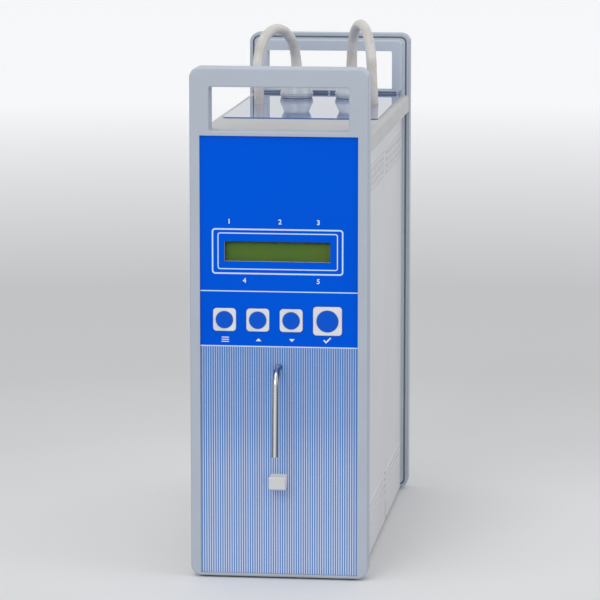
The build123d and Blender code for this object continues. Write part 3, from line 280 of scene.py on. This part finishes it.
def filmFinish():
    made = Finish("printedFilm", Specular_IOR_Level=0.02)
    x, y, z = made.place()

    def line(away, width):
        return 1.0 - made.soften(away, width / 2 - film["lineSoft"], width / 2 + film["lineSoft"])

    lines = line(abs(z - film["upperLine"]), film["lineWidth"])
    for left, right, low, high, width, corner in film["boxes"]:
        lines = lines.math("MAXIMUM", line(abs(roundedBox(x, z, left, right, low, high, corner)), width))
    lines = lines.math("MAXIMUM", line(abs(z - film["lowerLine"]), film["lineWidth"]))
    fall = (film["lowerLine"] - z) / film["lowerLine"]
    share = made.grade(fall, film["stripeShares"])
    wave = abs((x % film["stripePitch"]) / film["stripePitch"] - 0.5) * 2.0
    stripes = made.soften(wave - (1.0 - share), -0.10, 0.10)
    striped = made.mix(stripes, film["stripeBlue"], film["stripePale"])
    plain = made.ramp(made.noise(9.0, 2.0), [(0.3, film["deepBlue"]), (0.7, film["blue"])])
    below = z < film["lowerLine"]
    made.feed("Base Color", made.mix(lines, made.mix(below, plain, striped), film["print"]))
    orange = made.noise(160.0, 1.0)
    made.feed("Roughness", orange * 0.1 + 0.38)
    made.bump(orange, 0.00005, 0.15)
    return made.material


def printFinish():
    made = Finish("filmPrint", Specular_IOR_Level=0.1)
    grain = made.noise(220.0, 2.0)
    made.feed("Base Color", made.ramp(grain, [(0.3, film["thinInk"]), (0.7, film["ink"])]))
    made.feed("Roughness", grain * 0.1 + 0.4)
    return made.material


# The keys: height of their middles, each one's middle and disc radius, colours
keys = {
    "centreHeight": 153.3,
    "places": {
        "mode_key": ("modeKey", -31.8, 5.0),
        "up_key": ("upKey", -12.3, 5.0),
        "down_key": ("downKey", 7.2, 5.0),
        "enter_key": ("enterKey", 28.4, 6.3),
    },
    "white": (0.79, 0.80, 0.83),
    "shade": (0.70, 0.71, 0.76),
    "rim": (0.02, 0.06, 0.22),
    "disc": (0.0, 0.092, 0.64),
}


def keyFinish(name, centreX, discRadius):
    made = Finish(name, Roughness=0.4, Specular_IOR_Level=0.12)
    x, y, z = made.place()
    away = ((x - centreX).math("POWER", 2.0) + (z - keys["centreHeight"]).math("POWER", 2.0)).math("SQRT")
    white = made.ramp(made.noise(120.0, 3.0), [(0.3, keys["shade"]), (0.7, keys["white"])])
    rim = 1.0 - made.soften(abs(away - discRadius), 0.1, 0.35)
    inside = 1.0 - made.soften(away, discRadius - 0.1, discRadius + 0.1)
    disc = made.mix(inside, white, keys["disc"])
    made.feed("Base Color", made.mix(rim * 0.6, disc, keys["rim"]))
    made.bump(made.noise(500.0, 1.0), 0.00004, 0.2)
    return made.material


# The display: its window in millimetres, the character cells' pitches as parts of it, colours, and the colour of the
# painted shade along its top and left edges
display = {
    "left": -31.9,
    "right": 30.0,
    "low": 187.5,
    "high": 199.3,
    "columns": 16.6,
    "rows": 2.05,
    "cellReach": (1.5, 2.4),
    "olive": (0.085, 0.200, 0.010),
    "brown": (0.120, 0.200, 0.012),
    "cell": (0.065, 0.160, 0.008),
    "edgeShade": (0.018, 0.045, 0.006),
}


def displayFinish():
    made = Finish("displayGlass", Roughness=0.45, Specular_IOR_Level=0.1)
    x, y, z = made.place()
    ground = made.ramp(made.noise(45.0, 2.0), [(0.35, display["olive"]), (0.7, display["brown"])])
    pitchX = (display["right"] - display["left"]) / display["columns"]
    pitchZ = (display["high"] - display["low"]) / display["rows"]
    columnX = abs((x - display["left"] - 1.1) % pitchX - pitchX / 2)
    rowZ = abs((z - display["low"] - 0.15) % pitchZ - pitchZ / 2)
    cells = (columnX < display["cellReach"][0]) * (rowZ < display["cellReach"][1])
    celled = made.mix(cells * 0.35, ground, display["cell"])
    # Painted shade: darker along the top and the left of the window, where the recess shades the glass
    top = made.soften(z, display["high"] - 3.0, display["high"])
    side = 1.0 - made.soften(x, display["left"], display["left"] + 2.0)
    made.feed("Base Color", made.mix(top.math("MAXIMUM", side * 0.6), celled, display["edgeShade"]))
    return made.material


def clearFinish():
    made = Finish("clearPane", Roughness=0.06, Base_Color=(0.22, 0.25, 0.28), Specular_IOR_Level=0.12)
    made.feed("Alpha", made.noise(30.0, 2.0) * 0.02 + 0.03)
    made.material.surface_render_method = "BLENDED"
    return made.material


def plateFinish():
    made = Finish("plateGloss", Roughness=0.03, Specular_IOR_Level=0.6, Coat_Weight=1.0, Coat_Roughness=0.02)
    cloud = made.noise(18.0, 2.0)
    made.feed("Base Color", made.ramp(cloud, [(0.3, (0.035, 0.11, 0.33)), (0.7, (0.05, 0.14, 0.39))]))
    made.bump(made.noise(60.0, 1.0), 0.00004, 0.05)
    return made.material


def siliconeFinish():
    made = Finish("silicone", Specular_IOR_Level=0.45, Subsurface_Weight=0.35, Subsurface_Scale=0.003,
                  Coat_Weight=0.35, Coat_Roughness=0.2)
    made.shader.inputs["Subsurface Radius"].default_value = (1.0, 0.85, 0.7)
    cloud = made.noise(90.0, 3.0)
    made.feed("Base Color", made.ramp(cloud, [(0.3, (0.50, 0.475, 0.44)), (0.7, (0.66, 0.64, 0.61))]))
    made.feed("Roughness", made.noise(300.0, 2.0) * 0.15 + 0.25)
    made.bump(made.noise(160.0, 2.0), 0.0001, 0.2)
    return made.material


def knobFinish(name):
    made = Finish(name, Specular_IOR_Level=0.5, Coat_Weight=0.4, Coat_Roughness=0.12)
    pearl = made.noise(140.0, 3.0)
    made.feed("Base Color", made.ramp(pearl, [(0.3, (0.46, 0.49, 0.54)), (0.7, (0.57, 0.60, 0.64))]))
    made.feed("Roughness", pearl * 0.15 + 0.22)
    made.bump(made.noise(500.0, 1.0), 0.00004, 0.2)
    return made.material


# Pipe colours: a painted highlight in the middle, painted shade on the flanks and edges; radius in millimetres
pipe = {
    "radius": 1.75,
    "middle": (0.78, 0.78, 0.78),
    "flank": (0.30, 0.31, 0.33),
    "edgeShade": (0.09, 0.095, 0.11),
}


def pipeFinish():
    # Polished tube: a painted highlight along the middle, painted shade towards its sides
    made = Finish("polishedPipe", Metallic=1.0)
    x, y, z = made.place()
    side = abs(x) / pipe["radius"]
    made.feed("Base Color", made.ramp(side, [(0.15, pipe["middle"]), (0.55, pipe["flank"]), (0.95, pipe["edgeShade"])]))
    draw = made.noise(700.0, 2.0, stretch=(1.0, 1.0, 0.04))
    made.feed("Roughness", draw * 0.08 + 0.16)
    return made.material


board = {
    "track": (0.09, 0.30, 0.11),
    "gap": (0.015, 0.14, 0.05),
    "ground": (0.02, 0.17, 0.06),
}


def boardFinish():
    made = Finish("circuitBoard", Roughness=0.4, Specular_IOR_Level=0.5)
    tracks = made.cells(320.0)
    made.feed("Base Color", made.ramp(tracks, [(0.0, board["track"]), (0.25, board["gap"]), (1.0, board["ground"])]))
    made.bump(tracks, 0.00005, 0.4)
    return made.material


def rubberFinish():
    made = Finish("footRubber", Roughness=0.8, Specular_IOR_Level=0.3)
    speckle = made.noise(700.0, 3.0)
    made.feed("Base Color", made.ramp(speckle, [(0.3, (0.018, 0.018, 0.018)), (0.7, (0.045, 0.044, 0.042))]))
    made.bump(speckle, 0.0001, 0.5)
    return made.material


# One finish for each material slot of the part
# The frame's outer faces carry painted shade
frameGrey = mouldedPlastic("frameGrey", (0.445, 0.495, 0.565), (0.425, 0.472, 0.54), flank=(0.35, 0.395, 0.47))
finishes = {
    "frame_plastic": frameGrey,
    "liner_plastic": mouldedPlastic("linerGrey", (0.49, 0.54, 0.61), (0.465, 0.515, 0.585)),
    "side_paint": paintedSheet("sidePaint", (0.60, 0.605, 0.63), (0.57, 0.575, 0.60), shadow=(0.30, 0.31, 0.35)),
    "cover_plastic": mouldedPlastic("coverGrey", (0.48, 0.48, 0.485), (0.455, 0.455, 0.46), 0.5),
    "plate_gloss": plateFinish(),
    "film": filmFinish(),
    "clear_plastic": clearFinish(),
    "display": displayFinish(),
    "circuit_board": boardFinish(),
    "steel": steel("polishedSteel"),
    "sheet_metal": paintedSheet("sheetPaint", (0.55, 0.56, 0.58), (0.51, 0.52, 0.545), 0.45),
    "grey_plastic": mouldedPlastic("hookGrey", (0.70, 0.70, 0.71), (0.64, 0.645, 0.66), 0.4),
    "pearl_plastic": knobFinish("knobPearl"),
    "white_plastic": mouldedPlastic("whitePlastic", (0.78, 0.78, 0.76), (0.72, 0.72, 0.71), 0.4),
    "rubber": rubberFinish(),
    "silicone": siliconeFinish(),
    "black_plastic": mouldedPlastic("blackPlastic", (0.022, 0.022, 0.023), (0.015, 0.015, 0.016), 0.42),
    "port_metal": steel("tinnedSteel", (0.58, 0.58, 0.56), 0.3),
    "motor_metal": steel("platedSteel", (0.50, 0.50, 0.50), 0.34),
    "aluminium": steel("machinedAluminium", (0.72, 0.73, 0.74), 0.3, (0.05, 1.0, 1.0)),
}
ownFinishes = {"sample_pipe": pipeFinish()}
for node, place in keys["places"].items():
    ownFinishes[node] = keyFinish(*place)


def dress(piece, material):
    if not piece.material_slots:
        piece.data.materials.append(material)
    for slot in piece.material_slots:
        slot.material = material


for part in frame["record"]["subparts"]:
    node = part["node"]
    dress(frame["nodes"][node], ownFinishes.get(node) or finishes[part["material_slot"]])
print("materials on every node")


def link(piece):
    bpy.context.scene.collection.objects.link(piece)
    return piece


def finishMesh(shape, name, material=None, crease=35.0):
    # The bmesh becomes a mesh: closed, facing out, smooth but for its corners
    bmesh.ops.remove_doubles(shape, verts=shape.verts, dist=1e-7)
    bmesh.ops.recalc_face_normals(shape, faces=shape.faces)
    mesh = bpy.data.meshes.new(name)
    shape.to_mesh(mesh)
    shape.free()
    mesh.shade_smooth()
    mesh.set_sharp_from_angle(angle=math.radians(crease))
    if material:
        mesh.materials.append(material)
    return mesh


def lathe(profile, segments, looped=False):
    # Turns (radius, height) pairs round Z
    shape = bmesh.new()
    rings = []
    for radius, height in profile:
        count = segments if radius > 1e-7 else 1
        turns = [2 * math.pi * step / count for step in range(count)]
        rings.append([shape.verts.new((radius * math.cos(turn), radius * math.sin(turn), height)) for turn in turns])
    pairs = list(zip(rings, rings[1:])) + ([(rings[-1], rings[0])] if looped else [])
    for low, high in pairs:
        for step in range(segments):
            after = (step + 1) % segments
            corners = [low[step % len(low)], low[after % len(low)], high[after % len(high)], high[step % len(high)]]
            shape.faces.new(list(dict.fromkeys(corners)))
    return shape


def smoothLine(points, parts):
    # Catmull-Rom points through the given ones
    ends = [points[0], *points, points[-1]]
    line = []
    for a, b, c, d in zip(ends, ends[1:], ends[2:], ends[3:]):
        for part in range(parts):
            t = part / parts
            line.append(tuple(
                0.5 * (2 * q + (r - p) * t + (2 * p - 5 * q + 4 * r - s) * t * t + (3 * q - p - 3 * r + s) * t ** 3)
                for p, q, r, s in zip(a, b, c, d)
            ))
    return line + [points[-1]]


# Print on the film: plain numbers and generic signs. Each sign is its middle and its outlines, in millimetres
def bar(low):
    return [(-2.2, low), (2.2, low), (2.2, low + 0.5), (-2.2, low + 0.5)]


signs = [
    (-31.4, [bar(1.0), bar(-0.25), bar(-1.5)]),
    (-11.9, [[(-1.7, -0.8), (1.7, -0.8), (0.0, 0.9)]]),
    (7.6, [[(-1.7, 0.8), (0.0, -0.9), (1.7, 0.8)]]),
    (28.2, [[(-2.3, 0.2), (-0.7, -1.5), (2.4, 1.6), (1.8, 2.2), (-0.7, -0.3), (-1.7, 0.8)]]),
]
shape = bmesh.new()
for text, x, z in film["digits"]:
    letters = bpy.data.curves.new("digit", "FONT")
    letters.body = text
    letters.size = film["digitSize"]
    letters.offset = film["digitWeight"]
    letters.align_x = "CENTER"
    letters.align_y = "CENTER"
    holder = link(bpy.data.objects.new("digit", letters))
    flat = bpy.data.meshes.new_from_object(holder.evaluated_get(bpy.context.evaluated_depsgraph_get()))
    flat.transform(Matrix.Translation((x, film["printHigh"], z)) @ Matrix.Rotation(math.pi / 2, 4, "X"))
    shape.from_mesh(flat)
    bpy.data.objects.remove(holder)
for middle, outlines in signs:
    for outline in outlines:
        shape.faces.new([
            shape.verts.new((middle + x, film["printHigh"], film["legendHeight"] + z)) for x, z in outline
        ])
bmesh.ops.scale(shape, vec=(0.001, 0.001, 0.001), verts=shape.verts)
bmesh.ops.triangulate(shape, faces=shape.faces)
for face in shape.faces:
    face.normal_update()
    if face.normal.y > 0:
        face.normal_flip()
filmMesh = bpy.data.meshes.new("filmPrint")
shape.to_mesh(filmMesh)
shape.free()
filmMesh.materials.append(printFinish())
filmPrint = link(bpy.data.objects.new("filmPrint", filmMesh))
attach(filmPrint, "root")
print("print on the film")


# Union knobs, with fine moulded rings. Outline and bore are (radius, height) in millimetres
knob = {
    "foot": 261.1,
    "places": {
        "left_union_knob": ("unionKnobLeft", -17.7, 105.0),
        "right_union_knob": ("unionKnobRight", 17.7, 105.0),
    },
    "outline": [(9.9, 0.0), (10.35, 1.0), (10.6, 2.4), (10.35, 3.7), (9.8, 4.8), (8.9, 6.6), (8.2, 8.4), (8.35, 9.6),
                (9.0, 10.9), (9.5, 12.0), (9.55, 13.0), (9.2, 14.0), (8.6, 14.5)],
    "bore": [(2.9, 14.5), (2.9, 9.1), (6.2, 9.1), (6.2, 0.0)],
    "ringPitch": 1.35,
    "ringHeight": 0.07,
    "segments": 96,
}
for node, (name, x, y) in knob["places"].items():
    outline = []
    for radius, height in smoothLine(knob["outline"], 5):
        ring = knob["ringHeight"] * math.sin(2 * math.pi * height / knob["ringPitch"])
        outline.append(((radius + ring) / 1000, height / 1000))
    bore = [(radius / 1000, height / 1000) for radius, height in knob["bore"]]
    turned = lathe(outline + bore, knob["segments"], looped=True)
    mesh = finishMesh(turned, "unionKnob", finishes["pearl_plastic"], crease=50.0)
    mesh.transform(Matrix.Translation((x / 1000, y / 1000, knob["foot"] / 1000)))
    piece = link(bpy.data.objects.new(name, mesh))
    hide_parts(node)
    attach(piece, node)
print("union knobs turned")


# Repeats on a grid: louvre hoods on the sides and screws on the rear panel
def repeatTree():
    tree = bpy.data.node_groups.new("repeatOnGrid", "GeometryNodeTree")
    kinds = {"Template": "Object", "Finish": "Material", "Columns": "Int", "Rows": "Int", "Width": "Float",
             "Height": "Float", "Centre": "Vector", "Turn": "Vector"}
    sockets = {
        name: tree.interface.new_socket(name=name, in_out="INPUT", socket_type="NodeSocket" + kind)
        for name, kind in kinds.items()
    }
    tree.interface.new_socket(name="Geometry", in_out="OUTPUT", socket_type="NodeSocketGeometry")
    made = {
        kind: tree.nodes.new(kind)
        for kind in ("NodeGroupInput", "GeometryNodeMeshGrid", "GeometryNodeTransform", "GeometryNodeObjectInfo",
                     "GeometryNodeInstanceOnPoints", "GeometryNodeRealizeInstances", "GeometryNodeSetMaterial",
                     "NodeGroupOutput")
    }
    given = made["NodeGroupInput"].outputs
    grid, turn = made["GeometryNodeMeshGrid"], made["GeometryNodeTransform"]
    info, copies = made["GeometryNodeObjectInfo"], made["GeometryNodeInstanceOnPoints"]
    real, paint = made["GeometryNodeRealizeInstances"], made["GeometryNodeSetMaterial"]
    for source, target in (
        (given["Width"], grid.inputs["Size X"]),
        (given["Height"], grid.inputs["Size Y"]),
        (given["Columns"], grid.inputs["Vertices X"]),
        (given["Rows"], grid.inputs["Vertices Y"]),
        (grid.outputs["Mesh"], turn.inputs["Geometry"]),
        (given["Centre"], turn.inputs["Translation"]),
        (given["Turn"], turn.inputs["Rotation"]),
        (turn.outputs["Geometry"], copies.inputs["Points"]),
        (given["Template"], info.inputs["Object"]),
        (info.outputs["Geometry"], copies.inputs["Instance"]),
        (copies.outputs["Instances"], real.inputs["Geometry"]),
        (real.outputs["Geometry"], paint.inputs["Geometry"]),
        (given["Finish"], paint.inputs["Material"]),
        (paint.outputs["Geometry"], made["NodeGroupOutput"].inputs["Geometry"]),
    ):
        tree.links.new(source, target)
    return tree, {name: socket.identifier for name, socket in sockets.items()}


gridTree, gridSockets = repeatTree()


def repeatPiece(name, mesh, values, materialSlot):
    template = link(bpy.data.objects.new(name + "Template", mesh))
    piece = link(bpy.data.objects.new(name, bpy.data.meshes.new(name)))
    modifier = piece.modifiers.new("repeat", "NODES")
    modifier.node_group = gridTree
    for key, value in {**values, "Template": template, "Finish": finishes[materialSlot]}.items():
        modifier[gridSockets[key]] = value
    bpy.context.view_layer.update()
    result = bpy.data.meshes.new_from_object(piece.evaluated_get(bpy.context.evaluated_depsgraph_get()))
    piece.modifiers.clear()
    piece.data = result
    bpy.data.objects.remove(template)
    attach(piece, "root")
    return piece


def louvreMesh(name, side):
    # One hood: its section drawn out along Y, sinking into the wall at both ends
    shape = bmesh.new()
    half = louvre["length"] / 2
    rise = [(-half, 0.02), (-half + louvre["endRise"], 0.55), (-half + louvre["taper"], 1.0)]
    stations = rise + [(-y, swell) for y, swell in reversed(rise)]
    rings = []
    for y, swell in stations:
        rings.append([shape.verts.new((side * out * swell / 1000, y / 1000, z / 1000))
                      for out, z in louvre["section"]])
    for low, high in zip(rings, rings[1:]):
        for step in range(len(low)):
            after = (step + 1) % len(low)
            shape.faces.new([low[step], low[after], high[after], high[step]])
    shape.faces.new(rings[0])
    shape.faces.new(rings[-1])
    return finishMesh(shape, name)


for side, name in ((1, "right"), (-1, "left")):
    for level, height in louvre["heights"].items():
        values = {
            "Columns": 2,
            "Rows": louvre["rows"],
            "Width": louvre["step"] / 1000,
            "Height": louvre["pitch"] * (louvre["rows"] - 1) / 1000,
            "Centre": (side * louvre["wall"] / 1000, louvre["middle"] / 1000, height / 1000),
            "Turn": (math.pi / 2, 0.0, math.pi / 2),
        }
        repeatPiece(f"{name}{level}Louvres", louvreMesh("louvreHood", side), values, "side_paint")
print("louvre hoods set")

# Rear panel screws, in millimetres: head and shank as (radius, height); recess as length, width, depth
screw = {
    "segments": 32,
    "head": [(0.0, -3.0), (1.4, -3.0), (1.5, -2.8), (1.5, 0.0), (2.55, 0.0), (2.75, 0.2), (2.75, 0.8), (2.45, 1.35),
             (1.9, 1.75), (1.1, 1.95), (0.0, 2.0)],
    "top": 2.1,
    "recess": (3.1, 0.75, 1.3),
    "width": 84.0,
    "height": 238.0,
    "centre": (0.0, 144.0, 131.0),
}


def screwMesh():
    # Pan head and shank on Z, with a cross recess cut in its top, then laid along Y
    head = finishMesh(lathe([(r / 1000, h / 1000) for r, h in screw["head"]], screw["segments"]), "screwHead")
    body = link(bpy.data.objects.new("screwBody", head))
    cutter = bmesh.new()
    across, wide, deep = (value / 1000 for value in screw["recess"])
    for size in ((across, wide), (wide, across)):
        matrix = Matrix.Translation((0, 0, screw["top"] / 1000)) @ Matrix.Diagonal((*size, 2 * deep, 1.0))
        bmesh.ops.create_cube(cutter, size=1.0, matrix=matrix)
    tool = link(bpy.data.objects.new("screwTool", finishMesh(cutter, "screwCross")))
    cut = body.modifiers.new("recess", "BOOLEAN")
    cut.object = tool
    cut.operation = "DIFFERENCE"
    cut.solver = "EXACT"
    cut.use_self = True
    bpy.context.view_layer.update()
    mesh = bpy.data.meshes.new_from_object(body.evaluated_get(bpy.context.evaluated_depsgraph_get()))
    bpy.data.objects.remove(body)
    bpy.data.objects.remove(tool)
    mesh.transform(Matrix.Rotation(-math.pi / 2, 4, "X"))
    return mesh


values = {
    "Columns": 2,
    "Rows": 3,
    "Width": screw["width"] / 1000,
    "Height": screw["height"] / 1000,
    "Centre": tuple(value / 1000 for value in screw["centre"]),
    "Turn": (math.pi / 2, 0.0, 0.0),
}
panelScrews = repeatPiece("panelScrews", screwMesh(), values, "steel")
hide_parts("panel_screws")
print("rear panel screws set")


# The two free hoses, as the part routes them: points in millimetres, the rest in metres
hose = {
    "radius": 0.0032,
    "flare": 1.12,
    "left_hose": [
        (-17.7, 105.0, 276.0),
        (-17.7, 105.0, 288.6),
        (-21.4, 97.8, 302.1),
        (-28.2, 83.5, 307.8),
        (-34.6, 69.3, 302.0),
        (-37.3, 62.0, 288.6),
        (-37.1, 61.6, 275.8),
        (-36.0, 62.0, 263.0),
        (-36.0, 62.0, 250.0),
    ],
    "right_hose": [
        (17.7, 105.0, 276.0),
        (17.7, 105.0, 291.8),
        (20.2, 97.6, 305.3),
        (25.8, 83.5, 311.0),
        (31.6, 69.5, 305.3),
        (34.6, 62.2, 291.8),
        (35.0, 61.6, 277.5),
        (36.0, 62.0, 263.0),
        (36.0, 62.0, 250.0),
    ],
    "lengths": {"left_hose": 0.1138, "right_hose": 0.1192},
}


for node, name in (("left_hose", "leftHose"), ("right_hose", "rightHose")):
    curve = bpy.data.curves.new(name, "CURVE")
    curve.dimensions = "3D"
    curve.bevel_depth = hose["radius"]
    curve.bevel_resolution = 8
    curve.resolution_u = 20
    curve.use_fill_caps = True
    spline = curve.splines.new("NURBS")
    spline.points.add(len(hose[node]) - 1)
    for point, (x, y, z) in zip(spline.points, hose[node]):
        point.co = (x / 1000, y / 1000, z / 1000, 1.0)
    spline.points[0].radius = hose["flare"]
    spline.order_u = 3
    spline.use_endpoint_u = True
    curve.materials.append(finishes["silicone"])
    piece = link(bpy.data.objects.new(name, curve))
    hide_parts(node)
    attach(piece, "root")
print("hoses routed")


# Camera at the photograph's angle
camera = {
    "place": (0.2510, -2.1335, 0.4727),
    "target": (-0.00422, 0.010, 0.14422),
    "lens": 211.6,
}
lens = bpy.data.cameras.new("camera")
lens.sensor_width = 36.0
lens.lens = camera["lens"]
lens.clip_end = 50.0
viewer = link(bpy.data.objects.new("camera", lens))
viewer.location = camera["place"]
gaze = Vector(camera["target"]) - Vector(camera["place"])
viewer.rotation_euler = gaze.to_track_quat("-Z", "Y").to_euler()
bpy.context.scene.camera = viewer

# Pale floor with painted light: darker round the object, lighter and faintly glowing far out; plain sky light and
# soft lamps.
# Floor stops are (share of floorReach in millimetres, brightness); lamps are name, place, size, watts, colour
studio = {
    "floorSize": 160.0,
    "floorReach": 4000.0,
    "floor": [
        (0.0, 0.74), (0.05, 0.72), (0.0875, 0.63), (0.15, 0.57), (0.26, 0.58), (0.45, 0.72), (0.7, 0.90), (1.0, 0.92),
    ],
    "floorGlow": [(0.26, 0.0), (0.7, 0.2)],
    "sky": (0.97, 0.98, 1.0),
    "skyPower": 0.8,
    "aim": (0.0, 0.0, 0.15),
    "lamps": [
        ("overhead", (-0.4, -0.6, 2.2), 1.2, 7.0, (1.0, 0.99, 0.97)),
        ("rightFill", (1.8, -0.4, 1.0), 1.2, 6.0, (1.0, 1.0, 1.0)),
        ("frontFill", (-0.6, -2.2, 1.6), 1.0, 11.0, (0.98, 0.99, 1.0)),
    ],
}
floorMesh = bpy.data.meshes.new("floor")
half = studio["floorSize"] / 2
floorMesh.from_pydata([(-half, -half, 0), (half, -half, 0), (half, half, 0), (-half, half, 0)], [], [(0, 1, 2, 3)])
floorFinish = Finish("floorWhite", Roughness=0.6, Specular_IOR_Level=0.1, Emission_Strength=1.0)
x, y, z = floorFinish.place()
away = (x * x + y * y).math("SQRT") / studio["floorReach"]
# Painted light and shade: the floor's brightness changes with distance from the object
floorFinish.feed("Base Color", floorFinish.grade(away, studio["floor"]))
# Painted light: the far floor glows though it is no lamp
floorFinish.feed("Emission Color", floorFinish.grade(away, studio["floorGlow"]))
floorMesh.materials.append(floorFinish.material)
floor = link(bpy.data.objects.new("floor", floorMesh))

sky = bpy.data.worlds.new("studio")
sky.use_nodes = True
background = sky.node_tree.nodes["Background"]
background.inputs["Color"].default_value = (*studio["sky"], 1.0)
background.inputs["Strength"].default_value = studio["skyPower"]
bpy.context.scene.world = sky
for name, place, size, power, colour in studio["lamps"]:
    lamp = bpy.data.lights.new(name, "AREA")
    lamp.size = size
    lamp.energy = power
    lamp.color = colour
    stand = link(bpy.data.objects.new(name, lamp))
    stand.location = place
    stand.rotation_euler = (Vector(studio["aim"]) - Vector(place)).to_track_quat("-Z", "Y").to_euler()
bpy.context.scene.view_settings.view_transform = "Standard"
print("camera and studio set")
